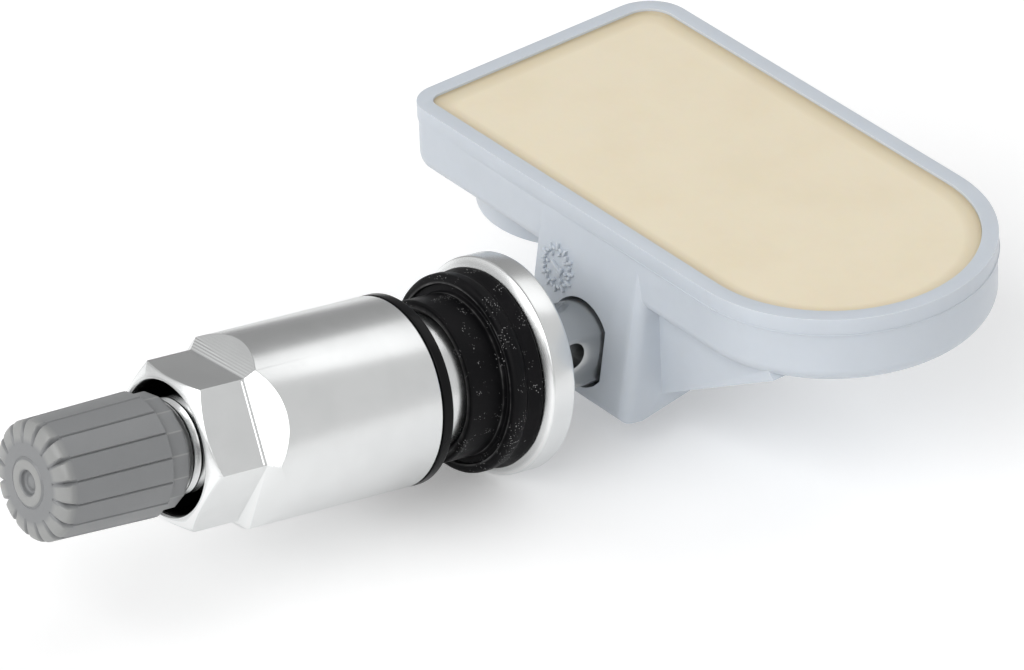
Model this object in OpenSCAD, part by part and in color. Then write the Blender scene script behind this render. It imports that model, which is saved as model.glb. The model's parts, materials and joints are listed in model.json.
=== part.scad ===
// Tyre pressure sensor: a clamp-in aluminium valve screwed to a potted electronics housing.
// Frame: the valve axis is Y and the cap points to -Y, Z comes up out of the potted face.
// Origin: on the valve axis, in the plane where the rubber seal meets the wheel rim.
// Lengths are millimetres, angles are degrees.

/* [Shank and valve thread] */
// Radius of the threaded shank that goes through the rim
shank_r = 5.6; // [5:0.1:6.5]
// Rim seat to the front shoulder of the shank
shank_len = 20.3; // [18:0.1:24]
// Outside radius of the small valve thread under the cap
thread_r = 3.87; // [3.5:0.01:4.2]
// Rim seat to the front end of the valve thread
thread_end = 36.2; // [33:0.1:40]
// Radius of the air passage through the stem
air_r = 1.2; // [0.8:0.05:1.5]
// Radius of the hole that takes the valve core
core_hole_r = 2.6; // [2.3:0.05:2.8]
// Depth of the hole that takes the valve core
core_hole_len = 12.5; // [11:0.1:15]

/* [Collar and stub] */
// Radius of the collar behind the seal
collar_r = 8.93; // [8.5:0.01:10]
// Thickness of the collar
collar_t = 2.13; // [1.5:0.01:3]
// Collar's front edge chamfer
collar_edge = 0.25; // [0.1:0.05:0.4]
// Radius of the stub that enters the housing
stub_r = 3.5; // [3:0.05:4]
// Half the width across the stub's two flats
stub_flat = 2.8; // [2.4:0.05:3.2]
// Collar to the face of the housing's boss
stub_bare = 7.4; // [6.5:0.1:9]
// Depth of the stub inside the boss
stub_in = 6.5; // [5:0.1:8]
// Radius of the air hole across the stub
cross_r = 1.15; // [0.8:0.05:1.4]
// Collar to the air hole
cross_at = 4.5; // [3.5:0.1:5.5]
// Height of the air hole above the valve axis
cross_up = 0.6; // [0:0.1:1]

/* [Rubber seal] */
// Collar to the rim seat
seal_len = 6.57; // [5.5:0.01:8]
// Radius of the neck that touches the rim
neck_r = 6.65; // [6.2:0.01:7.2]
// Rim seat to the flange behind the neck
neck_len = 3.3; // [2.6:0.1:4]
// Radius of the flange
ring_r = 8.12; // [7.8:0.01:8.4]
// Radius at the collar end of the seal
flare_r = 8.25; // [7.8:0.01:8.6]
// Length of the flared part at the collar
flare_len = 1.6; // [1:0.1:2.4]
// Depth of the waist between the flange and the flare
seal_waist = 0.28; // [0.1:0.01:0.5]
// Width of the groove in the flange round the neck
seal_groove_w = 0.7; // [0.4:0.1:1]
// Depth of the groove in the flange round the neck
seal_groove_d = 0.3; // [0.1:0.05:0.6]

/* [Nut and washer] */
// Rim seat to the washer, as the nut stands in the photograph
nut_stand = 2.59; // [2.2:0.01:4]
// Thickness of the plastic washer
washer_t = 0.94; // [0.7:0.01:1.4]
// Radius of the nut's round barrel
barrel_r = 7.77; // [7.4:0.01:8.4]
// Whole length of the nut
nut_len = 21.6; // [20:0.1:25]
// Width across the hexagon's flats
across_flats = 12; // [11.9:0.1:13]
// Length of the flats
flat_len = 4.95; // [4:0.05:6]
// Angle of the milled run-out behind each flat
runout_angle = 43; // [35:1:50]
// Angle of the chamfer at the hexagon's front
nut_chamfer = 30; // [20:1:35]
// Turn of the hexagon about the valve axis
hex_turn = 4.5; // [0:0.5:30]
// Radius of the lip in the nut's mouth
nut_lip_r = 5.42; // [5.38:0.01:5.55]
// Length of that lip
nut_lip_len = 1.1; // [0.6:0.1:2]

/* [Cap] */
// Gap from the nut's front to the mouth of the cap
cap_gap = 0.7; // [0.4:0.1:2]
// Length of the cap
cap_len = 12.2; // [11:0.1:14]
// Radius over the ribs at the mouth end
cap_r = 5.1; // [4.9:0.01:5.3]
// How much the ribs taper in by the tip
cap_taper = 0.2; // [0:0.05:0.3]
// Length of the plain band at the mouth
cap_band = 1.8; // [1:0.1:2.5]
// Radius of the plain band at the mouth
cap_band_r = 4.72; // [4.6:0.01:4.8]
// Number of ribs round the cap
cap_ribs = 16; // [13:1:20]
// Width of the groove between two ribs
rib_gap = 0.3; // [0.2:0.05:0.5]
// Depth of the groove between two ribs
rib_depth = 0.3; // [0.2:0.05:0.4]
// Length of the rounded tip
cap_dome = 1.9; // [1.2:0.1:2.6]
// Radius of the flat end face
cap_end_r = 3.6; // [3:0.1:4]

/* [Housing] */
// Length of the housing
house_len = 52.2; // [48:0.1:58]
// Width of the housing, and twice the radius of its round end
house_w = 26.2; // [25:0.1:30]
// Height of the tray without what is under it
tray_h = 6.2; // [5.8:0.1:7.5]
// Width of the rim round the potting
rim_w = 1.35; // [1:0.05:1.6]
// Valve axis to the housing's square end
left_len = 24.5; // [23:0.1:27]
// Rim seat to the near side of the housing's top
face_y = 15.7; // [15.5:0.1:16]
// Height of the near side of the housing's top over the valve axis
top_z = 11.28; // [10.5:0.01:12.5]
// Tilt of the housing's top against the valve axis
house_tilt = 9.9; // [5:0.1:12]
// Radius of the square end's near corner
near_corner = 2.6; // [2:0.1:3.5]
// Radius of the square end's far corner
far_corner = 3.7; // [3:0.1:5]
// Rounding of the tray's lower edge
edge_r = 1.5; // [1:0.1:1.9]
// Height of the rim band above the mould line
band_h = 1.45; // [1:0.05:2]
// How far the rim band stands out at the mould line
band_out = 0.1; // [0.05:0.01:0.2]
// Thickness of the tray's floor
floor_t = 1.2; // [1:0.1:1.6]

/* [Boss and screw] */
// Half the width of the boss
boss_half = 6.5; // [6:0.1:7.5]
// How far the boss reaches below the valve axis
boss_low = 4.6; // [4.3:0.1:5.5]
// Length of the boss's level underside
boss_level = 2; // [1.5:0.1:4]
// Rise of the boss's underside behind that
boss_slope = 19.5; // [15:0.5:25]
// Rounding of the boss's upright edge on the round end's side
boss_round = 1.2; // [0.8:0.1:1.6]
// Rounding of its other upright edge
boss_crisp = 0.3; // [0.2:0.1:0.6]
// Near side to the front of the box under the tray
box_start = 1.7; // [1:0.1:2.5]
// Slope of the box's underside up to the round end
box_rake = 29.4; // [27:0.1:35]
// Depth of the box below the housing's top
box_h = 14.3; // [13.6:0.1:15]
// Length of the box from the near side
box_len = 16; // [14:0.1:18]
// Radius of the fixing screw's shank
screw_r = 1.6; // [1.3:0.1:1.8]
// Radius of the fixing screw's head
screw_head_r = 2.4; // [2.1:0.1:2.6]
// Thickness of the fixing screw's head
screw_head_t = 2.2; // [1.8:0.1:2.6]
// Thickness of the wall that the screw clamps
screw_wall = 2.6; // [2:0.1:3]

/* [Battery and electronics] */
// Radius of the round battery bulge
bulge_r = 8.9; // [8.8:0.1:9.6]
// Valve axis to the bulge's centre
bulge_x = 14.6; // [14:0.1:14.7]
// Near side to the bulge's centre
bulge_w = 10.6; // [10.5:0.1:12]
// Depth of the bulge below the housing's top
bulge_h = 8.5; // [8.4:0.1:9.5]
// Radius of the coin cell
cell_r = 7.8; // [7:0.1:8]
// Thickness of the coin cell
cell_t = 3.2; // [2.5:0.1:3.3]
// Depth of the potting's face below the rim
pot_down = 0.5; // [0.3:0.05:0.7]
// Depth of the board below the rim
board_down = 2.9; // [2.8:0.1:3.1]
// Thickness of the circuit board
board_t = 0.8; // [0.6:0.1:1]

/* [Hidden] */
$fn = 96;
function share(s) = s;
// Clearances and small sizes
run_fit = 0.06;
slide_fit = 0.1;
close_fit = 0.03;
loose_fit = 0.25;
overlap = 0.2;
big = 60;
full_turn = 360;
half_turn = 180;
quarter_turn = 90;
sides = 6;
half_side = full_turn / sides / 2;
// Places along the valve, measured from the rim seat toward the cap
seal_back = -seal_len;
collar_back = seal_back - collar_t;
boss_face = collar_back - stub_bare;
stub_end = boss_face - stub_in;
nut_back = nut_stand + washer_t + slide_fit;
nut_front = nut_back + nut_len;
flats_back = nut_front - flat_len;
nut_bore_r = shank_r + run_fit;
cap_mouth = nut_front + cap_gap;
cap_front = cap_mouth + cap_len;
cap_bore_r = thread_r + run_fit;
cap_wall = share(0.85);
cap_seal_t = share(0.9);
cap_floor = cap_front - cap_wall - cap_seal_t;
thread_top = min(thread_end, cap_floor - slide_fit);
thread_step = share(1.6);
// The housing's own frame: x from the valve axis, y from the near side, z up from the rim
end_x = house_len - left_len - house_w / 2;
cavity_h = tray_h - floor_t;
bulge_floor = bulge_h - share(0.95);
coil_y = house_w * share(0.72);
coil_foot = share(1.2);
part_gap = 0.5;
box_left = -boss_half + overlap;
box_lead = share(0.4);
box_deep = box_h + box_lead * tan(box_rake);
box_reach = boss_half + (box_h - tray_h) / tan(box_rake);

// Places and helpers

module along_valve(at) {
    // Turns local z into the way from the housing to the cap
    rotate([quarter_turn, 0, 0]) translate([0, 0, at]) children();
}

module in_housing(x, y, down) {
    translate([0, face_y, top_z]) rotate([house_tilt, 0, 0]) translate([x, y, -down]) children();
}

module rod(r, from, to) {
    translate([0, 0, from]) cylinder(r = r, h = to - from);
}

module spun(points) {
    rotate_extrude() polygon(points);
}

module brick(x0, x1, y0, y1, z0, z1) {
    translate([x0, y0, z0]) cube([x1 - x0, y1 - y0, z1 - z0]);
}

// The housing's plan shape, drawn inside the outline by inset
module plan(inset) {
    near_r = near_corner - min(inset, near_corner * share(0.6));
    far_r = far_corner - min(inset, far_corner * share(0.6));
    x0 = -left_len + inset;
    y0 = inset;
    y1 = house_w - inset;
    translate([end_x, house_w / 2]) circle(r = house_w / 2 - inset);
    translate([x0 + far_r, y0]) square([end_x - x0 - far_r, y1 - y0]);
    translate([x0, y0 + near_r]) square([far_r + overlap, y1 - y0 - near_r - far_r]);
    translate([x0 + near_r, y0]) square([far_r, near_r + overlap]);
    translate([x0 + near_r, y0 + near_r]) circle(r = near_r);
    translate([x0 + far_r, y1 - far_r]) circle(r = far_r);
}

module plate(inset, from, to) {
    translate([0, 0, -to]) linear_extrude(height = to - from) plan(inset);
}

// Half section of the tray's edge: a wall that ends in a rounded foot
module edge_section(reach) {
    translate([0, -tray_h]) square([reach - edge_r, edge_r + overlap]);
    translate([0, -tray_h + edge_r]) square([reach, tray_h - edge_r - band_h]);
    translate([reach - edge_r, -tray_h + edge_r]) circle(r = edge_r);
}

module edge_corner(x, y, r) {
    // Part of a turned foot that fills one corner of the tray
    translate([x, y, 0]) rotate_extrude() intersection() {
        edge_section(r);
        translate([0, -tray_h]) square([r, tray_h]);
    }
}

module edge_bar(length, reach) {
    // A straight stretch of the tray's side, standing along x, with its wall at y = reach
    rotate([quarter_turn, 0, quarter_turn]) linear_extrude(height = length) edge_section(reach);
}

module tray_blank() {
    // Band above the mould line
    plate(0, 0, band_h);
    // Body below it, with a rounded lower edge
    inset = band_out;
    near_r = near_corner - inset;
    far_r = far_corner - inset;
    x0 = -left_len + inset;
    edge_corner(end_x, house_w / 2, house_w / 2 - inset);
    edge_corner(x0 + near_r, inset + near_r, near_r);
    edge_corner(x0 + far_r, house_w - inset - far_r, far_r);
    translate([x0 + far_r, house_w / 2, 0]) edge_bar(end_x - x0 - far_r, house_w / 2 - inset);
    translate([x0 + near_r, house_w / 2, 0]) mirror([0, 1, 0])
        edge_bar(end_x - x0 - near_r, house_w / 2 - inset);
    translate([x0 + left_len, house_w - inset - far_r, 0]) rotate([0, 0, -quarter_turn]) mirror([0, 1, 0])
        edge_bar(house_w - inset * 2 - near_r - far_r, left_len);
}

// Valve

module valve_stem() {
    color("silver") along_valve(0) difference() {
        union() {
            spun([[0, thread_top], [thread_r - collar_edge, thread_top],
                [thread_r, thread_top - collar_edge], [thread_r, shank_len + thread_step],
                [shank_r - collar_edge * 2, shank_len], [shank_r, shank_len - collar_edge],
                [shank_r, seal_back], [collar_r - collar_edge, seal_back],
                [collar_r, seal_back - collar_edge], [collar_r, collar_back + collar_edge],
                [collar_r - collar_edge, collar_back], [0, collar_back]]);
            intersection() {
                rod(stub_r, stub_end, collar_back + overlap);
                brick(-stub_flat, stub_flat, -stub_r, stub_r, stub_end, collar_back + overlap);
            }
        }
        rod(core_hole_r, thread_top - core_hole_len, thread_top + overlap);
        rod(air_r, collar_back - cross_at - cross_r, thread_top);
        translate([0, cross_up, collar_back - cross_at]) rotate([0, quarter_turn, 0])
            rod(cross_r, -stub_r - overlap, stub_r + overlap);
        rod(screw_r + close_fit, stub_end - overlap, stub_end + stub_in);
    }
}

module grommet() {
    bore = shank_r + close_fit;
    edge = share(0.3);
    waist_r = ring_r - seal_waist;
    waist_at = seal_back + flare_len;
    groove_r = neck_r + seal_groove_w;
    color("dimgray") along_valve(0)
        spun([[bore, seal_back], [flare_r, seal_back], [flare_r, seal_back + flare_len / 2],
            [waist_r, waist_at], [waist_r, waist_at + edge], [ring_r, waist_at + edge * 2],
            [ring_r, -neck_len - edge], [ring_r - edge, -neck_len], [groove_r, -neck_len],
            [groove_r, -neck_len - seal_groove_d], [neck_r, -neck_len - seal_groove_d],
            [neck_r, -edge], [neck_r - edge, 0], [bore, 0]]);
}

module nut_washer() {
    color("black") along_valve(nut_stand) difference() {
        rod(barrel_r, 0, washer_t);
        rod(nut_bore_r, -overlap, washer_t + overlap);
    }
}

module nut() {
    mouth_r = nut_lip_r + slide_fit;
    drop = (barrel_r - mouth_r) * tan(nut_chamfer);
    reach = barrel_r - across_flats / 2 + overlap;
    run = reach / tan(runout_angle);
    color("silver") along_valve(0) difference() {
        spun([[nut_bore_r, nut_back], [barrel_r - collar_edge, nut_back], [barrel_r, nut_back + collar_edge],
            [barrel_r, nut_front - drop], [mouth_r, nut_front], [nut_lip_r, nut_front - collar_edge],
            [nut_lip_r, nut_front - nut_lip_len], [nut_bore_r, nut_front - nut_lip_len - nut_bore_r + nut_lip_r]]);
        for (side = [0 : sides - 1])
            rotate([0, 0, hex_turn + half_side + side * full_turn / sides])
                translate([across_flats / 2, barrel_r, flats_back]) rotate([quarter_turn, 0, 0])
                    linear_extrude(height = barrel_r * 2)
                        polygon([[0, 0], [0, flat_len + overlap], [reach, flat_len + overlap], [reach, -run]]);
    }
}

module valve_cap() {
    tip_r = cap_r - cap_taper;
    rib_from = cap_mouth + cap_band;
    dome_at = cap_front - cap_dome;
    groove_r = cap_r - rib_depth;
    eye_r = share(0.95);
    collar_eye = share(1.75);
    color("gray") along_valve(0) difference() {
        union() {
            rod(cap_band_r, cap_mouth, rib_from);
            translate([0, 0, rib_from]) cylinder(r1 = cap_r, r2 = tip_r, h = dome_at - rib_from);
            translate([0, 0, dome_at]) cylinder(r1 = tip_r, r2 = (tip_r + cap_end_r) / 2 + share(0.25), h = cap_dome / 2);
            translate([0, 0, dome_at + cap_dome / 2])
                cylinder(r1 = (tip_r + cap_end_r) / 2 + share(0.25), r2 = cap_end_r, h = cap_dome / 2);
            rod(collar_eye, cap_front - overlap, cap_front + share(0.15));
        }
        for (rib = [0 : cap_ribs - 1]) rotate([0, 0, rib * full_turn / cap_ribs])
            brick(groove_r - cap_taper, cap_r + overlap, -rib_gap / 2, rib_gap / 2, rib_from, cap_front + overlap);
        rod(cap_bore_r, cap_mouth - overlap, cap_floor + cap_seal_t);
        rod(eye_r, cap_front - cap_wall / 2, cap_front + cap_wall);
    }
}

module cap_seal() {
    color("black") along_valve(0) difference() {
        rod(cap_bore_r - close_fit, cap_floor, cap_floor + cap_seal_t);
        rod(core_hole_r * share(0.6), cap_floor - overlap, cap_floor + cap_seal_t / 2);
    }
}

// Valve core

module core_body() {
    r = core_hole_r - close_fit;
    waist_r = r * share(0.72);
    color("goldenrod") along_valve(thread_top) difference() {
        union() {
            rod(r, -core_hole_len * share(0.28), -share(0.6));
            rod(waist_r, -core_hole_len * share(0.72), -core_hole_len * share(0.28));
        }
        rod(share(0.75), -core_hole_len, overlap);
        rod(waist_r - share(0.35), -core_hole_len * share(0.7), -core_hole_len * share(0.4));
        brick(-r, r, -share(0.85), share(0.85), -share(1.6), overlap);
    }
}

module core_ring() {
    color("ivory") along_valve(thread_top - core_hole_len * share(0.4)) difference() {
        rod(core_hole_r - close_fit, 0, share(1.1));
        rod(core_hole_r * share(0.72) + close_fit, -overlap, share(1.1) + overlap);
    }
}

module core_pin() {
    color("goldenrod") along_valve(thread_top) {
        rod(share(0.5), -core_hole_len * share(0.72), -share(0.4));
        rod(share(0.66), -share(0.8), -share(0.2));
    }
}

module core_gasket() {
    color("black") along_valve(thread_top - core_hole_len * share(0.78)) {
        rod(core_hole_r * share(0.6), -share(1.0), 0);
        rod(core_hole_r * share(0.5), 0, core_hole_len * share(0.06) - close_fit);
    }
}

module core_spring() {
    // Drawn as touching coils
    wire_r = share(0.24);
    ring_at = share(0.95);
    turns = share(7);
    step = wire_r * share(1.8);
    color("silver") along_valve(thread_top - core_hole_len * share(0.7) + wire_r + close_fit)
        for (turn = [0 : turns]) translate([0, 0, turn * step]) rotate_extrude()
            translate([ring_at, 0]) circle(r = wire_r);
}

// Housing

module socket() {
    // Keyed hole for the stub, a little larger all round
    r = stub_r + loose_fit;
    flat = stub_flat + loose_fit;
    intersection() {
        rod(r, stub_end, boss_face + big);
        brick(-flat, flat, -r, r, stub_end, boss_face + big);
    }
}

module boss() {
    front = -boss_face;
    rear = front + box_len;
    top = top_z - band_h;
    rise = (box_len - boss_level) * tan(boss_slope);
    round_at = -boss_low + boss_round / 2;
    intersection() {
        translate([0, 0, -big]) linear_extrude(height = big * 2) {
            translate([-boss_half, front + boss_round]) square([boss_half * 2, rear - front - boss_round]);
            translate([-boss_half, front + boss_crisp]) square([boss_half, boss_round]);
            translate([-boss_half + boss_crisp, front])
                square([boss_half * 2 - boss_crisp - boss_round, boss_round * 2]);
            translate([-boss_half + boss_crisp, front + boss_crisp]) circle(r = boss_crisp);
            translate([boss_half - boss_round, front + boss_round]) circle(r = boss_round);
        }
        rotate([quarter_turn, 0, quarter_turn]) translate([0, 0, -big / 2]) linear_extrude(height = big) {
            polygon([[front, round_at], [front, top], [rear, top], [rear, -boss_low + rise],
                [front + boss_level, -boss_low],
                [front + boss_round / 2, -boss_low], [front + boss_round / 2, round_at]]);
            translate([front + boss_round / 2, round_at]) circle(r = boss_round / 2);
        }
    }
}

module sensor_housing() {
    head_at = stub_end - screw_wall;
    color("lightsteelblue") difference() {
        union() {
            in_housing(0, 0, 0) {
                tray_blank();
                translate([0, box_len, 0]) rotate([quarter_turn, 0, 0])
                    linear_extrude(height = box_len - box_start)
                        polygon([[box_left, -box_deep], [boss_half - box_lead, -box_deep], [box_reach, -tray_h],
                            [box_reach - tray_h + cavity_h, -cavity_h], [box_left, -cavity_h]]);
                translate([-bulge_x, bulge_w, -bulge_h]) cylinder(r = bulge_r, h = bulge_h - cavity_h);
            }
            difference() {
                boss();
                in_housing(0, 0, 0) brick(-big, big, rim_w, big, -cavity_h - overlap, big);
            }
        }
        in_housing(0, 0, 0) {
            plate(rim_w, -overlap, cavity_h);
            translate([-bulge_x, bulge_w, -bulge_floor])
                cylinder(r = cell_r + loose_fit, h = bulge_floor);
            translate([end_x, house_w / 2, -tray_h - overlap]) cylinder(r = share(0.7), h = tray_h);
        }
        along_valve(0) {
            socket();
            rod(screw_r + slide_fit, head_at - overlap, stub_end + overlap);
            rod(screw_head_r + loose_fit, -big, head_at);
        }
    }
}

module fixing_screw() {
    head_at = stub_end - screw_wall;
    color("silver") along_valve(0) difference() {
        union() {
            rod(screw_r, head_at, stub_end + stub_in * share(0.8));
            rod(screw_head_r, head_at - screw_head_t, head_at);
        }
        translate([0, 0, head_at - screw_head_t - overlap])
            cylinder(r = screw_head_r * share(0.55), h = screw_head_t * share(0.6) + overlap, $fn = 6);
    }
}

module potting() {
    color("wheat") in_housing(0, 0, 0) plate(rim_w + close_fit, pot_down, board_down - close_fit);
}

module circuit_board() {
    color("darkgreen") in_housing(0, 0, 0) plate(rim_w + loose_fit * 2, board_down, board_down + board_t);
}

module coin_cell() {
    lip = share(0.6);
    color("silver") in_housing(-bulge_x, bulge_w, bulge_floor - close_fit) {
        cylinder(r = cell_r, h = cell_t - lip);
        translate([0, 0, cell_t - lip]) cylinder(r = cell_r - lip, h = lip);
    }
}

module cell_tab_plus() {
    top = board_down + board_t + close_fit;
    bottom = bulge_floor - close_fit * 2 - cell_t;
    color("silver") in_housing(-bulge_x, bulge_w, 0)
        brick(-share(4.5), -share(1.5), -share(1.5), share(1.5), -max(bottom, top + share(0.15)), -top);
}

module cell_tab_minus() {
    top = board_down + board_t + close_fit;
    bottom = bulge_floor - close_fit * 2 - cell_t;
    color("silver") in_housing(-bulge_x, bulge_w, 0)
        brick(share(1.5), share(4.5), -share(1.5), share(1.5), -max(bottom, top + share(0.15)), -top);
}

module under_board(x, y) {
    in_housing(x, y, board_down + board_t + close_fit) mirror([0, 0, 1]) children();
}

module coil_core() {
    color("black") under_board(0, coil_y) {
        brick(-share(4), share(4), -share(0.5), share(0.5), 0, share(1));
        brick(-share(4), -share(3), -coil_foot, coil_foot, 0, share(1));
        brick(share(3), share(4), -coil_foot, coil_foot, 0, share(1));
    }
}

module coil_winding() {
    color("orangered") under_board(0, coil_y) difference() {
        brick(-share(2.9), share(2.9), -share(1), share(1), close_fit, share(1.1));
        brick(-share(3.1), share(3.1), -share(0.53), share(0.53), -overlap, share(1.03));
    }
}

module pressure_chip() {
    color("black") under_board(end_x, house_w / 2) difference() {
        brick(-share(3), share(3), -share(3), share(3), 0, share(0.8));
        rod(share(0.5), share(0.5), share(2));
    }
}

module chip_seal() {
    color("ivory") under_board(end_x, house_w / 2) difference() {
        rod(share(1.6), share(0.8) + close_fit, cavity_h - board_down - board_t - close_fit * 2);
        rod(share(0.8), 0, cavity_h);
    }
}

module timing_crystal() {
    color("silver") under_board(end_x - house_w * share(0.25), house_w * share(0.3))
        brick(-share(1.6), share(1.6), -share(1.25), share(1.25), 0, share(0.8));
}

module tuning_capacitor() {
    color("tan") under_board(end_x - house_w * share(0.25), house_w * share(0.55))
        brick(-share(1), share(1), -share(0.6), share(0.6), 0, share(0.8));
}

module filter_capacitor() {
    color("tan") under_board(end_x - house_w * share(0.25), coil_y - coil_foot - share(0.6) - part_gap)
        brick(-share(1), share(1), -share(0.6), share(0.6), 0, share(0.8));
}

module radio_antenna() {
    // Flat loop of strip round the board's round end
    r = house_w / 2 - rim_w - share(1.6);
    color("silver") under_board(end_x, house_w / 2) difference() {
        rod(r, 0, share(0.6));
        rod(r - share(0.8), -overlap, share(2));
        brick(-big, 0, -big, big, -overlap, share(2));
    }
}

valve_cap();
cap_seal();
nut();
nut_washer();
valve_stem();
grommet();
core_body();
core_ring();
core_pin();
core_gasket();
core_spring();
sensor_housing();
potting();
circuit_board();
coin_cell();
cell_tab_plus();
cell_tab_minus();
coil_core();
coil_winding();
pressure_chip();
chip_seal();
timing_crystal();
tuning_capacitor();
filter_capacitor();
radio_antenna();
fixing_screw();
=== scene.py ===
"""Tyre pressure sensor with a clamp-in valve, dressed for its studio picture.

Lengths in the classes are millimetres. Places along the valve are measured from
the rim seat towards the cap, so a place s lies at y = -s in the frame.
"""

import json
import logging
import math
from collections.abc import Callable
from dataclasses import dataclass, field
from enum import Enum

import bmesh
import bpy
from mathutils import Matrix, Vector, noise


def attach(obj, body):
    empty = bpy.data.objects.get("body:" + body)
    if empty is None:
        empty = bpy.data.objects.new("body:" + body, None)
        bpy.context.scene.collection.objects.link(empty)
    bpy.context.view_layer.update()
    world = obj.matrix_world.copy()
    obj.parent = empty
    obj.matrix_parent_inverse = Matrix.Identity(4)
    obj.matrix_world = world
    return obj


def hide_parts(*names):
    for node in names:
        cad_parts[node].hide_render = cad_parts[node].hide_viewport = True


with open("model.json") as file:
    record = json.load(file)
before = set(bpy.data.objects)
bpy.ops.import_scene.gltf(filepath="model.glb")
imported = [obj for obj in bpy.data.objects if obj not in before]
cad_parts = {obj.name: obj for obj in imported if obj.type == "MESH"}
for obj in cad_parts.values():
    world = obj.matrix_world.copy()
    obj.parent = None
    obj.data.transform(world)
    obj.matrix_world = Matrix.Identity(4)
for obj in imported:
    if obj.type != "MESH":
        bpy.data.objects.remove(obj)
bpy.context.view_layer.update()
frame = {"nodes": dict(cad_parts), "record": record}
MM = 0.001
log = logging.getLogger("pressure_sensor")

Point = tuple[float, float]
Colour = tuple[float, float, float]


# Shapes


def rounded(points: list[Point], radii: dict[int, float], steps: int = 5) -> list[Point]:
    """Rounds chosen corners of an open outline with true arcs.

    Args:
        points: Outline corners in order.
        radii: Corner index to rounding length along each side.
        steps: Points used for one rounded corner.

    Returns:
        The outline with each chosen corner replaced by a smooth curve.
    """
    out: list[Point] = []
    for index, corner in enumerate(points):
        size = radii.get(index, 0.0)
        if size <= 0 or index in (0, len(points) - 1):
            out.append(corner)
            continue
        here = Vector(corner)
        back = (Vector(points[index - 1]) - here).normalized()
        ahead = (Vector(points[index + 1]) - here).normalized()
        pull = math.sin(back.angle(ahead) / 2)
        for step in range(steps + 1):
            t = step / steps
            shares = ((1 - t) ** 2, 2 * t * (1 - t) * pull, t ** 2)
            spot = (here + back * size) * shares[0] + here * shares[1] + (here + ahead * size) * shares[2]
            out.append(tuple(spot / sum(shares)))
    return out


def lathe(bm: bmesh.types.BMesh, outline: list[Point], segments: int) -> None:
    """Spins an outline of (radius, place) points once round the valve axis.

    Args:
        bm: Mesh that takes the turned skin.
        outline: Radius and place along the valve of each point.
        segments: Steps of the full turn.
    """
    verts = [bm.verts.new((r * MM, -s * MM, 0.0)) for r, s in outline]
    edges = [bm.edges.new(pair) for pair in zip(verts, verts[1:])]
    bmesh.ops.spin(bm, geom=verts + edges, cent=(0, 0, 0), axis=(0, 1, 0), dvec=(0, 0, 0),
                   angle=math.tau, steps=segments, use_merge=True, use_duplicate=False)
    bmesh.ops.remove_doubles(bm, verts=bm.verts[:], dist=1e-6)


def to_object(bm: bmesh.types.BMesh, name: str, sharp: float = 32.0) -> bpy.types.Object:
    """Turns a bmesh into a linked object with outward, smooth-shaded faces.

    Args:
        bm: Finished mesh, freed by this call.
        name: Name of the new object.
        sharp: Edges that turn by more degrees than this stay crisp.

    Returns:
        The new object, standing at the origin.
    """
    bmesh.ops.recalc_face_normals(bm, faces=bm.faces[:])
    mesh = bpy.data.meshes.new(name)
    bm.to_mesh(mesh)
    bm.free()
    smooth(mesh, sharp)
    piece = bpy.data.objects.new(name, mesh)
    bpy.context.scene.collection.objects.link(piece)
    return piece


def smooth(mesh: bpy.types.Mesh, sharp: float) -> None:
    """Shades a mesh smooth, apart from edges that turn by more than sharp degrees."""
    mesh.polygons.foreach_set("use_smooth", [True] * len(mesh.polygons))
    mesh.set_sharp_from_angle(angle=math.radians(sharp))


def carve(piece: bpy.types.Object, tools: list[bpy.types.Object], operation: str = "DIFFERENCE") -> None:
    """Applies boolean tools to a piece and deletes them.

    Args:
        piece: Piece that keeps the result.
        tools: Closed solids to take away or add.
        operation: Boolean operation for every tool.
    """
    for tool in tools:
        cut = piece.modifiers.new("cut", "BOOLEAN")
        cut.object = tool
        cut.operation = operation
        cut.solver = "EXACT"
    bake(piece)
    for tool in tools:
        bpy.data.objects.remove(tool, do_unlink=True)


def bake(piece: bpy.types.Object, sharp: float = 32.0) -> None:
    """Replaces a piece's mesh by its mesh with all modifiers applied."""
    bpy.context.view_layer.update()
    evaluated = piece.evaluated_get(bpy.context.evaluated_depsgraph_get())
    mesh = bpy.data.meshes.new_from_object(evaluated)
    piece.modifiers.clear()
    piece.data = mesh
    smooth(mesh, sharp)


def soften(piece: bpy.types.Object, width: float, angle: float = 30.0, slot: int = -1) -> None:
    """Breaks a piece's crisp edges with a small bevel.

    Args:
        piece: Piece whose mesh is changed.
        width: Bevel width in millimetres.
        angle: Edges that turn by more degrees than this are bevelled.
        slot: Material slot of the bevel, or -1 for that of the faces beside it.
    """
    edge = piece.modifiers.new("edge", "BEVEL")
    edge.width = width * MM
    edge.segments = 3
    edge.material = slot
    edge.limit_method = "ANGLE"
    edge.angle_limit = math.radians(angle)
    edge.use_clamp_overlap = True
    edge.miter_outer = "MITER_ARC"
    bake(piece, 40.0)


def prism(name: str, outline: list[Vector], along: Vector) -> bpy.types.Object:
    """Makes a closed prism from a flat outline pushed along a vector."""
    bm = bmesh.new()
    face = bm.faces.new([bm.verts.new(spot) for spot in outline])
    pushed = bmesh.ops.extrude_face_region(bm, geom=[face])
    moved = [item for item in pushed["geom"] if isinstance(item, bmesh.types.BMVert)]
    bmesh.ops.translate(bm, verts=moved, vec=along)
    return to_object(bm, name)


def rod(name: str, start: Vector, end: Vector, radius: float, segments: int = 64) -> bpy.types.Object:
    """Makes a closed round rod between two points given in millimetres."""
    bm = bmesh.new()
    way = (end - start) * MM
    turn = way.to_track_quat("Z", "Y").to_matrix().to_4x4()
    middle = Matrix.Translation((start + end) / 2 * MM)
    bmesh.ops.create_cone(bm, cap_ends=True, segments=segments, radius1=radius * MM, radius2=radius * MM,
                          depth=way.length, matrix=middle @ turn)
    return to_object(bm, name)


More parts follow.
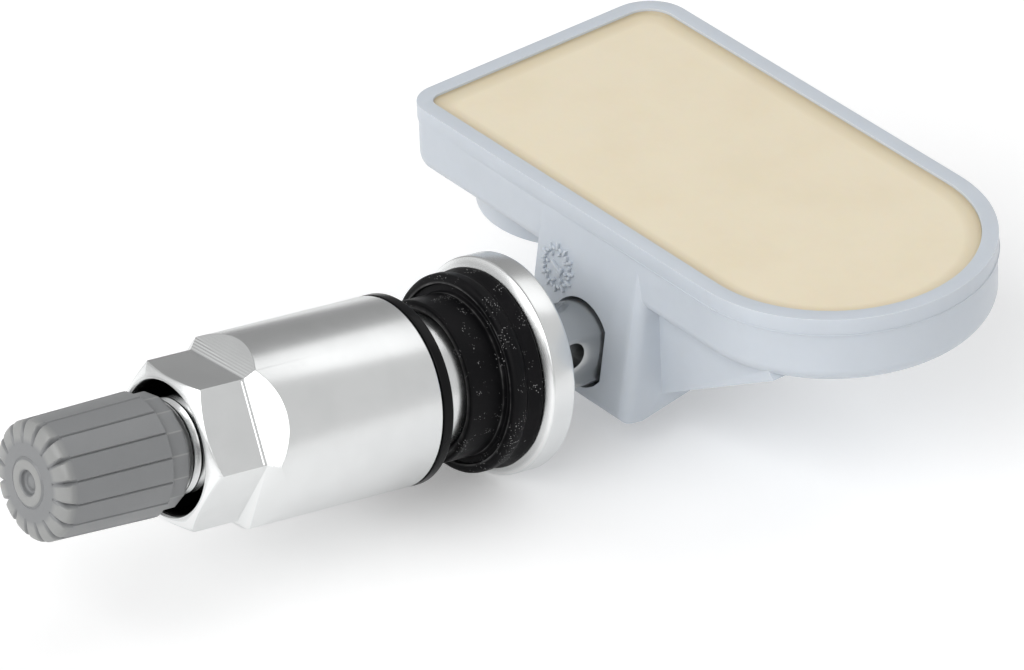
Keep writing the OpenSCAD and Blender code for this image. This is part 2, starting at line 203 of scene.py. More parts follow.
def mark(piece: bpy.types.Object, label: str, amount: Callable[[float, float], float]) -> None:
    """Marks where a turned piece takes painted shade or a painted highlight.

    Args:
        piece: Piece whose mesh takes the mark.
        label: Name of the mark that the material reads.
        amount: Gives 0 to 1 from the distance to the valve axis and the place along it.
    """
    layer = piece.data.attributes.new(label, "FLOAT", "POINT")
    values = [amount(math.hypot(v.co.x, v.co.z) / MM, -v.co.y / MM) for v in piece.data.vertices]
    layer.data.foreach_set("value", values)


def copy_of(node: str, name: str) -> bpy.types.Object:
    """Copies a CAD node's mesh, merged and with its flat faces joined.

    Args:
        node: CAD node to copy.
        name: Name of the copy.

    Returns:
        The copy, ready for bevels.
    """
    bm = bmesh.new()
    bm.from_mesh(frame["nodes"][node].data)
    bmesh.ops.remove_doubles(bm, verts=bm.verts[:], dist=2e-7)
    bmesh.ops.dissolve_limit(bm, angle_limit=math.radians(0.4), verts=bm.verts[:], edges=bm.edges[:],
                             use_dissolve_boundaries=False)
    return to_object(bm, name)


# Finishes


class NodeBench:
    """Adds and joins the nodes of one material or group."""

    def __init__(self, tree: bpy.types.NodeTree) -> None:
        """Takes the tree that the nodes go into."""
        self.tree = tree

    def add(self, kind: str, **values: object) -> bpy.types.Node:
        """Adds a node.

        Args:
            kind: Blender's node type name.
            **values: Attributes, or default values of inputs by their name with underscores.

        Returns:
            The new node.
        """
        made = self.tree.nodes.new(kind)
        for key, value in values.items():
            socket = made.inputs.get(key.replace("_", " "))
            if hasattr(made, key):
                setattr(made, key, value)
            elif socket is not None:
                socket.default_value = value
        return made

    def join(self, source: bpy.types.NodeSocket, target: bpy.types.NodeSocket) -> None:
        """Links one socket to another."""
        self.tree.links.new(source, target)

    def math(self, operation: str, first: object, second: object = 0.5) -> bpy.types.NodeSocket:
        """Adds a math node on sockets or numbers and returns its result."""
        made = self.add("ShaderNodeMath", operation=operation)
        for slot, value in enumerate((first, second)):
            if isinstance(value, bpy.types.NodeSocket):
                self.join(value, made.inputs[slot])
            else:
                made.inputs[slot].default_value = value
        return made.outputs[0]

    def span(self, value: bpy.types.NodeSocket, low: float, high: float,
             start: float = 0.0, end: float = 1.0) -> bpy.types.NodeSocket:
        """Maps low..high of a value onto start..end, smoothly and clamped."""
        made = self.add("ShaderNodeMapRange", interpolation_type="SMOOTHSTEP")
        self.join(value, made.inputs["Value"])
        for name, number in (("From Min", low), ("From Max", high), ("To Min", start), ("To Max", end)):
            made.inputs[name].default_value = number
        return made.outputs["Result"]

    def blend(self, mask: bpy.types.NodeSocket, first: object, second: object) -> bpy.types.NodeSocket:
        """Mixes two colours or sockets by a mask and returns the colour."""
        made = self.add("ShaderNodeMix", data_type="RGBA")
        self.join(mask, made.inputs["Factor"])
        for name, value in (("A", first), ("B", second)):
            socket = [s for s in made.inputs if s.name == name and s.type == "RGBA"][0]
            if isinstance(value, bpy.types.NodeSocket):
                self.join(value, socket)
            else:
                socket.default_value = (*value, 1.0)
        return [s for s in made.outputs if s.type == "RGBA"][0]


class Effects:
    """Shared shader groups: grain, turned lines and specks."""

    def __init__(self) -> None:
        """Builds each group once."""
        self.grain = self._grain()
        self.turned = self._turned()
        self.specks = self._specks()

    @staticmethod
    def _start(name: str, inputs: dict[str, float], outputs: list[str]) -> tuple[NodeBench, dict, dict]:
        """Opens a group with float inputs and outputs and returns its bench and sockets."""
        tree = bpy.data.node_groups.new(name, "ShaderNodeTree")
        for label, value in inputs.items():
            socket = tree.interface.new_socket(name=label, in_out="INPUT", socket_type="NodeSocketFloat")
            socket.default_value = value
        for label in outputs:
            tree.interface.new_socket(name=label, in_out="OUTPUT", socket_type="NodeSocketFloat")
        bench = NodeBench(tree)
        entry = bench.add("NodeGroupInput")
        leave = bench.add("NodeGroupOutput")
        return bench, {s.name: s for s in entry.outputs}, {s.name: s for s in leave.inputs}

    def _grain(self) -> bpy.types.NodeTree:
        """Fine moulded or cast grain with a broad, faint unevenness."""
        bench, given, out = self._start("fine_grain", {"Scale": 9000.0, "Broad Scale": 220.0},
                                        ["Height", "Broad"])
        place = bench.add("ShaderNodeTexCoord").outputs["Object"]
        fine = bench.add("ShaderNodeTexNoise", Detail=3.0, Roughness=0.55)
        broad = bench.add("ShaderNodeTexNoise", Detail=4.0, Roughness=0.6)
        bench.join(place, fine.inputs["Vector"])
        bench.join(place, broad.inputs["Vector"])
        bench.join(given["Scale"], fine.inputs["Scale"])
        bench.join(given["Broad Scale"], broad.inputs["Scale"])
        bench.join(fine.outputs[0], out["Height"])
        bench.join(broad.outputs[0], out["Broad"])
        return bench.tree

    def _turned(self) -> bpy.types.NodeTree:
        """Uneven rings left by a lathe tool, running round the valve axis."""
        bench, given, out = self._start("turned_lines", {"Density": 9000.0}, ["Height", "Streaks"])
        place = bench.add("ShaderNodeTexCoord").outputs["Object"]
        parts = bench.add("ShaderNodeSeparateXYZ")
        bench.join(place, parts.inputs[0])
        along = bench.math("MULTIPLY", parts.outputs["Y"], given["Density"])
        round_x = bench.math("MULTIPLY", parts.outputs["X"], 60.0)
        round_z = bench.math("MULTIPLY", parts.outputs["Z"], 60.0)
        joined = bench.add("ShaderNodeCombineXYZ")
        for slot, value in enumerate((round_x, along, round_z)):
            bench.join(value, joined.inputs[slot])
        rings = bench.add("ShaderNodeTexNoise", Scale=1.0, Detail=2.0, Roughness=0.7)
        bench.join(joined.outputs[0], rings.inputs["Vector"])
        coarse = bench.add("ShaderNodeTexNoise", Scale=0.13, Detail=3.0, Roughness=0.6)
        bench.join(joined.outputs[0], coarse.inputs["Vector"])
        bench.join(rings.outputs[0], out["Height"])
        bench.join(coarse.outputs[0], out["Streaks"])
        return bench.tree

    def _specks(self) -> bpy.types.NodeTree:
        """Scattered small specks of dust with uneven outlines."""
        bench, given, out = self._start("dust_specks", {"Scale": 1500.0, "Amount": 0.5}, ["Mask"])
        place = bench.add("ShaderNodeTexCoord").outputs["Object"]
        cells = bench.add("ShaderNodeTexVoronoi", feature="F1", Randomness=1.0)
        bench.join(place, cells.inputs["Vector"])
        bench.join(given["Scale"], cells.inputs["Scale"])
        patch = bench.add("ShaderNodeTexNoise", Scale=620.0, Detail=2.0)
        bench.join(place, patch.inputs["Vector"])
        size = bench.math("MULTIPLY", bench.span(patch.outputs[0], 0.42, 0.68), given["Amount"])
        inside = bench.math("SUBTRACT", size, cells.outputs["Distance"])
        bench.join(bench.span(inside, 0.0, 0.1), out["Mask"])
        return bench.tree

    @staticmethod
    def place(bench: NodeBench, tree: bpy.types.NodeTree, **values: float) -> bpy.types.Node:
        """Puts a shared group into a material with its own input values."""
        made = bench.add("ShaderNodeGroup", node_tree=tree)
        for key, value in values.items():
            made.inputs[key.replace("_", " ")].default_value = value
        return made


class Machining(Enum):
    """How a metal surface was left by its maker."""

    TURNED = "turned"
    MILLED = "milled"
    PLAIN = "plain"


@dataclass(frozen=True)
class MetalFinish:
    """Bare or plated metal with lathe rings, grain and painted shade on the hollows and spots that the mesh marks."""

    name: str
    colour: Colour
    roughness: float
    machining: Machining = Machining.TURNED
    line_depth: float = 0.00001
    shade: Colour = (0.02, 0.02, 0.021)

    def make(self, effects: Effects) -> bpy.types.Material:
        """Builds the material from the shared effects."""
        material = bpy.data.materials.new(self.name)
        material.use_nodes = True
        bench = NodeBench(material.node_tree)
        shader = material.node_tree.nodes["Principled BSDF"]
        shader.inputs["Metallic"].default_value = 1.0
        lines = Effects.place(bench, effects.turned, Density=14000.0)
        grain = Effects.place(bench, effects.grain, Scale=12000.0, Broad_Scale=260.0)
        tint = bench.span(grain.outputs["Broad"], 0.35, 0.7)
        dark = tuple(channel * 0.96 for channel in self.colour)
        # Painted shade: marked hollows and shaded spots are blended towards the dark shade colour.
        shade_mask = bench.add("ShaderNodeAttribute", attribute_name="painted_shade")
        colour = bench.blend(tint, self.colour, dark)
        if self.machining is Machining.MILLED:
            slope, stripes = self._cutter_marks(bench)
            # The run-outs and the front chamfer are drawn lighter; on the chamfer this is a painted highlight.
            colour = bench.blend(slope, colour, tuple(channel * 1.24 for channel in self.colour))
            colour = bench.blend(stripes, colour, tuple(channel * 0.84 for channel in self.colour))
        bench.join(bench.blend(shade_mask.outputs["Fac"], colour, self.shade), shader.inputs["Base Color"])
        streaks = bench.span(lines.outputs["Streaks"], 0.3, 0.7, self.roughness * 0.99, self.roughness * 1.01)
        bench.join(streaks, shader.inputs["Roughness"])
        height = lines.outputs["Height"] if self.machining is not Machining.PLAIN else grain.outputs["Height"]
        if self.machining is Machining.MILLED:
            height = bench.math("MULTIPLY", height, 0.015)
        bump = bench.add("ShaderNodeBump", Strength=0.5, Distance=self.line_depth)
        bench.join(height, bump.inputs["Height"])
        bench.join(bump.outputs["Normal"], shader.inputs["Normal"])
        return material

    @staticmethod
    def _cutter_marks(bench: NodeBench) -> tuple[bpy.types.NodeSocket, bpy.types.NodeSocket]:
        """Finds the sloping faces that the milling cutter left, the turned front chamfer that takes a painted
        highlight, and the even stripes on the upper sloping faces.
        """
        coordinates = bench.add("ShaderNodeTexCoord")
        way = bench.add("ShaderNodeSeparateXYZ")
        bench.join(coordinates.outputs["Normal"], way.inputs[0])
        slope = bench.span(bench.math("ABSOLUTE", bench.math("ADD", way.outputs["Y"], 0.69)), 0.03, 0.07, 1.0, 0.0)
        cone = bench.span(bench.math("ABSOLUTE", bench.math("ADD", way.outputs["Y"], 0.866)), 0.02, 0.05, 1.0, 0.0)
        place = bench.add("ShaderNodeSeparateXYZ")
        bench.join(coordinates.outputs["Object"], place.inputs[0])
        wave = bench.math("SINE", bench.math("MULTIPLY", place.outputs["Y"], math.tau / (0.175 * MM)))
        upper = bench.math("MULTIPLY", slope, bench.span(way.outputs["Z"], 0.1, 0.5))
        return bench.math("MAXIMUM", slope, cone), bench.math("MULTIPLY", bench.span(wave, -0.6, 0.6), upper)


@dataclass(frozen=True)
class PlasticFinish:
    """Moulded plastic with fine grain and, where the mesh marks it, a painted highlight in a paler colour."""

    name: str
    colour: Colour
    roughness: float
    highlight_colour: Colour | None = None
    grain: float = 0.1
    grain_scale: float = 9000.0
    sheen_clouds: float = 0.04
    scatter: float = 0.0
    gloss: float = 0.5

    def make(self, effects: Effects) -> bpy.types.Material:
        """Builds the material from the shared effects."""
        material = bpy.data.materials.new(self.name)
        material.use_nodes = True
        bench = NodeBench(material.node_tree)
        shader = material.node_tree.nodes["Principled BSDF"]
        grain = Effects.place(bench, effects.grain, Scale=self.grain_scale, Broad_Scale=240.0)
        clouds = bench.span(grain.outputs["Broad"], 0.3, 0.7)
        dark = tuple(channel * (1 - self.sheen_clouds) for channel in self.colour)
        colour = bench.blend(clouds, self.colour, dark)
        # Painted highlight: marked vertices are blended towards the paler highlight colour.
        if self.highlight_colour is not None:
            painted_highlight = bench.add("ShaderNodeAttribute", attribute_name="painted_highlight")
            colour = bench.blend(painted_highlight.outputs["Fac"], colour, self.highlight_colour)
        bench.join(colour, shader.inputs["Base Color"])
        bench.join(bench.span(grain.outputs["Broad"], 0.3, 0.7, self.roughness * 0.92, self.roughness * 1.08),
                   shader.inputs["Roughness"])
        shader.inputs["Specular IOR Level"].default_value = self.gloss
        if self.scatter:
            shader.inputs["Subsurface Weight"].default_value = self.scatter
            shader.inputs["Subsurface Radius"].default_value = (0.8, 0.6, 0.4)
            shader.inputs["Subsurface Scale"].default_value = 0.0012
        bump = bench.add("ShaderNodeBump", Strength=self.grain, Distance=0.00004)
        bench.join(grain.outputs["Height"], bump.inputs["Height"])
        bench.join(bump.outputs["Normal"], shader.inputs["Normal"])
        return material


@dataclass(frozen=True)
class RubberFinish:
    """Black seal rubber: soft sheen, matt bloom, a little dust and painted highlight lines on marked edges."""

    name: str
    colour: Colour = (0.0045, 0.0045, 0.0052)
    bloom: Colour = (0.0085, 0.008, 0.009)
    # Colour of the dust specks, also used for the painted highlight lines on marked edges.
    dust_and_highlight: Colour = (0.26, 0.26, 0.26)
    roughness: float = 0.4

    def make(self, effects: Effects) -> bpy.types.Material:
        """Builds the material from the shared effects."""
        material = bpy.data.materials.new(self.name)
        material.use_nodes = True
        bench = NodeBench(material.node_tree)
        shader = material.node_tree.nodes["Principled BSDF"]
        grain = Effects.place(bench, effects.grain, Scale=5200.0, Broad_Scale=420.0)
        colour = bench.blend(bench.span(grain.outputs["Broad"], 0.42, 0.72), self.colour, self.bloom)
        specks = Effects.place(bench, effects.specks, Scale=5600.0, Amount=0.3)
        # Painted highlight: marked edges take the pale dust colour in patches, next to the real dust specks.
        edge = bench.add("ShaderNodeAttribute", attribute_name="painted_highlight")
        patchy_highlight = bench.math("MULTIPLY", edge.outputs["Fac"], bench.span(grain.outputs["Broad"], 0.3, 0.7, 0.1, 0.9))
        colour = bench.blend(bench.math("MAXIMUM", specks.outputs["Mask"], patchy_highlight), colour, self.dust_and_highlight)
        shader.inputs["Specular IOR Level"].default_value = 0.09
        bench.join(colour, shader.inputs["Base Color"])
        bench.join(bench.span(grain.outputs["Broad"], 0.3, 0.7, self.roughness, self.roughness + 0.2),
                   shader.inputs["Roughness"])
        bump = bench.add("ShaderNodeBump", Strength=0.18, Distance=0.00006)
        bench.join(grain.outputs["Height"], bump.inputs["Height"])
        bench.join(bump.outputs["Normal"], shader.inputs["Normal"])
        return material


@dataclass(frozen=True)
class ResinFinish:
    """Cream potting resin: glossy, faintly clouded, with painted shade along its edge."""

    name: str
    colour: Colour = (0.85, 0.76, 0.58)
    cloud: Colour = (0.83, 0.735, 0.55)
    # Colour of the painted shade along the resin's edge.
    edge: Colour = (0.56, 0.45, 0.28)
    roughness: float = 0.34

    def make(self, effects: Effects) -> bpy.types.Material:
        """Builds the material from the shared effects."""
        material = bpy.data.materials.new(self.name)
        material.use_nodes = True
        bench = NodeBench(material.node_tree)
        shader = material.node_tree.nodes["Principled BSDF"]
        grain = Effects.place(bench, effects.grain, Scale=2500.0, Broad_Scale=150.0)
        colour = bench.blend(bench.span(grain.outputs["Broad"], 0.35, 0.75), self.colour, self.cloud)
        # Painted shade: the marked edge of the resin is blended towards the darker edge colour.
        rim = bench.add("ShaderNodeAttribute", attribute_name="painted_rim_shade")
        colour = bench.blend(rim.outputs["Fac"], colour, self.edge)
        bench.join(colour, shader.inputs["Base Color"])
        shader.inputs["Roughness"].default_value = self.roughness
        shader.inputs["Subsurface Weight"].default_value = 0.25
        shader.inputs["Subsurface Radius"].default_value = (1.0, 0.7, 0.35)
        shader.inputs["Subsurface Scale"].default_value = 0.0015
        bump = bench.add("ShaderNodeBump", Strength=0.25, Distance=0.0003)
        bench.join(grain.outputs["Broad"], bump.inputs["Height"])
        bench.join(bump.outputs["Normal"], shader.inputs["Normal"])
        return material


# Pieces


@dataclass
class Valve:
    """The turned and screwed pieces on the valve axis."""

    shank_r: float = 5.6
    shank_len: float = 20.3
    thread_r: float = 3.87
    thread_end: float = 36.2
    collar_r: float = 8.93
    collar_t: float = 2.13
    seal_len: float = 6.57
    stub_r: float = 3.5
    stub_flat: float = 2.8
    stub_len: float = 13.9
    lip_r: float = 8.04
    lip_up: float = 0.44
    cross_r: float = 1.15
    cross_at: float = 4.5
    cross_up: float = 0.6
    core_r: float = 2.6
    steps: int = 144
    thread_start: float = 1.9
    shank_pitch: float = 1.0
    cap_pitch: float = 0.794

    def _teeth(self, radius: float, start: float, end: float, pitch: float, depth: float) -> list[Point]:
        """Gives the outline of thread crests between two places."""
        out: list[Point] = []
        count = int((end - start) / pitch)
        for tooth in range(count):
            at = start + tooth * pitch
            out += [(radius - depth, at + pitch * 0.06), (radius, at + pitch * 0.42),
                    (radius, at + pitch * 0.58), (radius - depth, at + pitch * 0.94)]
        return out

    def stem(self, metal: bpy.types.Material) -> bpy.types.Object:
        """Builds the stem with its threads, collar, flats and cross hole."""
        back = -self.seal_len - self.collar_t
        stub_end = back - self.stub_len
        step = self.shank_len + 1.6
        lip = -self.seal_len + self.lip_up
        corner = rounded([(0, stub_end), (self.stub_r, stub_end), (self.stub_r, back), (self.collar_r, back),
                          (self.collar_r, lip - 0.42), (self.lip_r, lip), (self.lip_r - 0.08, -self.seal_len),
                          (self.shank_r, -self.seal_len), (self.shank_r, self.thread_start)],
                         {1: 0.2, 2: 0.25, 3: 0.3, 4: 0.14, 5: 0.05})
        outline = corner + self._teeth(self.shank_r, self.thread_start, self.shank_len - 0.3,
                                       self.shank_pitch, 0.45)
        outline += [(self.shank_r - 0.5, self.shank_len), (self.thread_r - 0.45, step)]
        outline += self._teeth(self.thread_r, step + 0.4, self.thread_end - 0.5, self.cap_pitch, 0.42)
        outline += [(self.thread_r - 0.5, self.thread_end), (self.core_r, self.thread_end),
                    (self.core_r, self.thread_end - 12.4), (0, self.thread_end - 12.5)]
        bm = bmesh.new()
        lathe(bm, outline, self.steps)
        piece = to_object(bm, "valve_stem_turned")
        side = (self.collar_r + 1) * MM
        tools = []
        for sign in (-1, 1):
            near = sign * self.stub_flat * MM
            far = sign * (self.stub_r + 1) * MM
            outline_3d = [Vector((near, -(stub_end - 1) * MM, -side)), Vector((far, -(stub_end - 1) * MM, -side)),
                          Vector((far, -(back - 0.02) * MM, -side)), Vector((near, -(back - 0.02) * MM, -side))]
            tools.append(prism("flat_cutter", outline_3d, Vector((0, 0, 2 * side))))
        hole_y = -(back - self.cross_at)
        tools.append(rod("hole_cutter", Vector((-9, hole_y, self.cross_up)),
                         Vector((9, hole_y, self.cross_up)), self.cross_r))
        carve(piece, tools)
        soften(piece, 0.12, angle=38)
        # Painted shade: the stub behind the collar is drawn darker, and its cross hole and bore darkest.
        mark(piece, "painted_shade", lambda radius, at: 0.0 if at > back - 0.1 else 0.4 if radius > 2.7 else 1.0)
        piece.data.materials.append(metal)
        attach(piece, "sensor")
        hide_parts("valve_stem")
        return piece


@dataclass
class Seal:
    """The rubber seal: a neck that meets the rim and a flange behind it."""

    seal_len: float = 6.57
    bore_r: float = 5.64
    neck_r: float = 6.65
    neck_len: float = 3.3
    ring_r: float = 8.12
    flare_r: float = 8.18
    flare_len: float = 1.6
    waist: float = 0.28
    groove_w: float = 0.7
    groove_d: float = 0.3

    def build(self, rubber: bpy.types.Material) -> bpy.types.Object:
        """Turns the seal from its stepped outline."""
        face, neck, outer = -self.neck_len, self.neck_r, self.ring_r
        waist_at = -self.seal_len + self.flare_len
        groove = neck + self.groove_w
        rear = -self.seal_len + 0.46
        points = [(self.bore_r, -self.seal_len), (self.flare_r - 0.32, -self.seal_len), (self.flare_r - 0.24, rear),
                  (self.flare_r, rear + 0.1), (self.flare_r, waist_at - 0.75),
                  (outer - self.waist, waist_at), (outer - self.waist, waist_at + 0.25), (outer, waist_at + 0.6),
                  (outer, face), (groove + 0.2, face + 0.015), (groove, face + 0.02),
                  (groove - 0.06, face - self.groove_d), (neck + 0.06, face - self.groove_d),
                  (neck - 0.02, face + 0.12), (neck, face + 0.4), (neck, -0.5), (neck, 0.0),
                  (self.bore_r + 0.42, 0.0), (self.bore_r, -0.4), (self.bore_r, -self.seal_len)]
        radii = {3: 0.14, 4: 0.2, 5: 0.2, 6: 0.1, 7: 0.2, 8: 0.42, 10: 0.06, 11: 0.12, 12: 0.12, 13: 0.1, 16: 0.22,
                 17: 0.06}
        outline = rounded(points, radii, 8)
        bm = bmesh.new()
        lathe(bm, outline, 192)
        piece = to_object(bm, "seal_rubber", 40)
        for vertex in piece.data.vertices:
            swell = noise.noise(vertex.co * 260.0) * 0.05 * MM
            out = Vector((vertex.co.x, 0, vertex.co.z)).normalized()
            if Vector((vertex.co.x, 0, vertex.co.z)).length > (self.bore_r + 0.6) * MM:
                vertex.co -= out * abs(swell)
        # Painted highlight: pale lines along the groove's lip, the neck's front edge and the bore's chamfer.
        edges = [(groove, face), (neck, face + 0.12), (self.bore_r + 0.42, 0.0)]
        mark(piece, "painted_highlight", lambda radius, at: max(
            0.0, 1 - min(math.hypot(radius - r, at - s) for r, s in edges) / 0.11))
        piece.data.materials.append(rubber)
        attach(piece, "sensor")
        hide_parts("grommet")
        return piece


@dataclass
class Nut:
    """The hexagon nut with its round barrel, and the washer behind it."""

    stand: float = 2.59
    washer_t: float = 0.94
    barrel_r: float = 7.77
    length: float = 21.6
    across: float = 12.0
    flat_len: float = 4.95
    runout: float = 43.0
    chamfer: float = 30.0
    turn: float = 4.5
    bore_r: float = 5.66
    lip_r: float = 5.42

    @property
    def back(self) -> float:
        """Place of the nut's rear face."""
        return self.stand + self.washer_t + 0.1

    @property
    def front(self) -> float:
        """Place of the nut's front face."""
        return self.back + self.length

    def nut(self, metal: bpy.types.Material) -> bpy.types.Object:
        """Turns the barrel, then mills the six flats and their run-outs."""
        mouth = self.lip_r + 0.14
        drop = (self.barrel_r - mouth) * math.tan(math.radians(self.chamfer))
        points = [(self.lip_r, self.front - 0.2), (self.lip_r, self.front - 1.1), (self.bore_r, self.front - 1.5),
                  (self.bore_r, self.back), (self.barrel_r, self.back), (self.barrel_r, self.front - drop),
                  (mouth, self.front), (self.lip_r, self.front - 0.2)]
        bm = bmesh.new()
        lathe(bm, rounded(points, {4: 0.22}), 288)
        piece = to_object(bm, "hex_nut")
        flats_back = self.front - self.flat_len
        reach = self.barrel_r - self.across / 2 + 1.0
        run = reach / math.tan(math.radians(self.runout))
        half = self.barrel_r + 1
        tools = []
        for side in range(6):
            bearing = math.radians(self.turn + 30 + 60 * side)
            out = Vector((math.cos(bearing), 0, math.sin(bearing)))
            across = Vector((-math.sin(bearing), 0, math.cos(bearing)))
            section = [(0, 0), (0, self.flat_len + 1), (reach, self.flat_len + 1), (reach, -run)]
            spots = [(out * (self.across / 2 + r) - across * half + Vector((0, -(flats_back + s), 0))) * MM
                     for r, s in section]
            tools.append(prism("flat_cutter", spots, across * 2 * half * MM))
        carve(piece, tools)
        soften(piece, 0.035, angle=20)
        carve(piece, [self._scribe()])
        # Painted shade: the nut's bore behind its lip is drawn in the dark shade colour.
        mark(piece, "painted_shade", lambda radius, at: 1.0 if radius < self.bore_r + 0.05 and at < self.front - 0.4 else 0.0)
        piece.data.materials.append(metal)
        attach(piece, "nut")
        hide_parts("nut")
        return piece

    def _scribe(self) -> bpy.types.Object:
        """Makes the cutter for the fine step that the mill left at the end of one flat."""
        bearing = math.radians(self.turn + 30)
        out = Vector((math.cos(bearing), 0, math.sin(bearing)))
        across = Vector((-math.sin(bearing), 0, math.cos(bearing)))
        at = self.front - self.flat_len
        half = self.across / 2 * math.tan(math.radians(30)) - 0.12
        section = [(-0.12, 0.33), (0.3, 0.36), (0.3, -0.11)]
        spots = [(out * (self.across / 2 + r) - across * half + Vector((0, -(at + s), 0))) * MM
                 for r, s in section]
        return prism("groove_cutter", spots, across * 2 * half * MM)

    def washer(self, nylon: bpy.types.Material) -> bpy.types.Object:
        """Turns the thin washer with its rounded edges."""
        top = self.stand + self.washer_t
        points = [(self.bore_r, top), (self.bore_r, self.stand), (self.barrel_r, self.stand),
                  (self.barrel_r, top), (self.bore_r, top)]
        bm = bmesh.new()
        lathe(bm, rounded(points, {2: 0.18, 3: 0.1}), 192)
        piece = to_object(bm, "nylon_washer")
        piece.data.materials.append(nylon)
        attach(piece, "washer")
        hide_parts("nut_washer")
        return piece


@dataclass
class Cap:
    """The ribbed plastic cap with its petalled tip."""

    mouth: float = 25.93
    length: float = 12.2
    dome: float = 0.95
    flat_r: float = 3.35
    rib_r: float = 5.1
    tip_r: float = 4.9
    band_r: float = 4.72
    band: float = 1.8
    bore_r: float = 3.93
    ribs: int = 16
    groove_w: float = 0.1
    groove_d: float = 0.17
    per_rib: int = 24

    def _outline(self) -> list[Point]:
        """Gives the cap's half section from the bore round to the eye."""
        m = self.mouth
        tip = m + self.length
        points: list[Point] = [(0, tip - 1.7), (self.bore_r, tip - 1.7), (self.bore_r, m + 0.3),
                               (self.bore_r + 0.25, m), (self.band_r - 0.15, m), (self.band_r, m + 0.2),
                               (self.band_r, m + self.band - 0.12), (self.rib_r, m + self.band + 0.12)]
        rows = 20
        dome_at = self.length - self.dome
        for row in range(1, rows + 1):
            at = self.band + 0.12 + (dome_at - self.band - 0.12) * row / rows
            share = row / rows
            points.append((self.rib_r + (self.tip_r - self.rib_r) * share, m + at))
        arc = 16
        for row in range(1, arc + 1):
            turn = math.pi / 2 * row / arc
            points.append((self.flat_r + (self.tip_r - self.flat_r) * math.cos(turn),
                           m + dome_at + (self.dome - 0.22) * math.sin(turn)))
        for row in range(1, 7):
            points.append((self.flat_r - (self.flat_r - 2.1) * row / 6, tip - 0.22 + 0.07 * row / 6))
        points += rounded([(2.1, tip - 0.15), (2.04, tip - 0.22), (1.95, tip - 0.14), (1.76, tip), (1.16, tip),
                           (0.98, tip - 0.16), (0.93, tip - 0.5), (0.72, tip - 0.58), (0.45, tip - 0.42),
                           (0, tip - 0.36)],
                          {1: 0.05, 2: 0.05, 3: 0.12, 4: 0.12, 5: 0.08, 6: 0.12, 7: 0.1, 8: 0.12})[1:]
        return points

    def build(self, plastic: bpy.types.Material) -> bpy.types.Object:
        """Turns the cap and presses the grooves between its ribs."""
        bm = bmesh.new()
        lathe(bm, self._outline(), self.ribs * self.per_rib)
        start = (self.mouth + self.band) * MM
        tip = (self.mouth + self.length) * MM
        pitch = math.tau / self.ribs
        shoulder = tip - self.dome * MM
        # Painted highlight: the petal crowns, the band's facet edges and the ring round the eye are marked for a paler
        # colour.
        painted_highlight = bm.verts.layers.float.new("painted_highlight")
        for vertex in bm.verts:
            radius = math.hypot(vertex.co.x, vertex.co.z)
            at = -vertex.co.y
            part = (math.atan2(vertex.co.z, vertex.co.x) / pitch) % 1.0 - 0.5
            rib = round(math.atan2(vertex.co.z, vertex.co.x) / pitch - part - 0.5)
            part = math.copysign(0.5 * (1 - (1 - abs(part) * 2) ** 1.6), part)
            arc = (0.5 - abs(part)) * pitch * radius / MM
            factor = 1.0
            flat = math.cos(pitch / 2) / math.cos(part * pitch)
            if at > start and radius > (self.flat_r - 0.2) * MM:
                lobe = min(1.0, max(0.0, (at - shoulder + 0.4 * MM) / (0.55 * MM)))
                fade = min(1.0, max(0.0, (radius / MM - self.flat_r + 0.2) / 0.5))
                width = self.groove_w + 0.17 * lobe
                depth = (self.groove_d + 0.46 * lobe) * fade
                near = max(0.0, 1 - arc / width)
                crown = 0.16 * lobe * fade * (abs(part) * 2) ** 3
                factor = (1 - (depth * near + crown) / (radius / MM)) * (0.25 + 0.75 * flat)
                vertex[painted_highlight] = lobe * fade * (1 - min(1.0, near * 3)) * 0.35
            elif at <= start and radius > (self.bore_r + 0.3) * MM and radius > (self.band_r - 0.3) * MM:
                factor = flat
                vertex[painted_highlight] = max(0.0, 1 - arc / 0.1) * 0.4
            elif at > start and 1.1 * MM < radius < 1.85 * MM:
                vertex[painted_highlight] = 0.4
            turn = (rib + part + 0.5) * pitch
            vertex.co.x = math.cos(turn) * radius * factor
            vertex.co.z = math.sin(turn) * radius * factor
        piece = to_object(bm, "ribbed_cap", 18)
        piece.data.materials.append(plastic)
        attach(piece, "cap")
        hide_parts("valve_cap")
        return piece


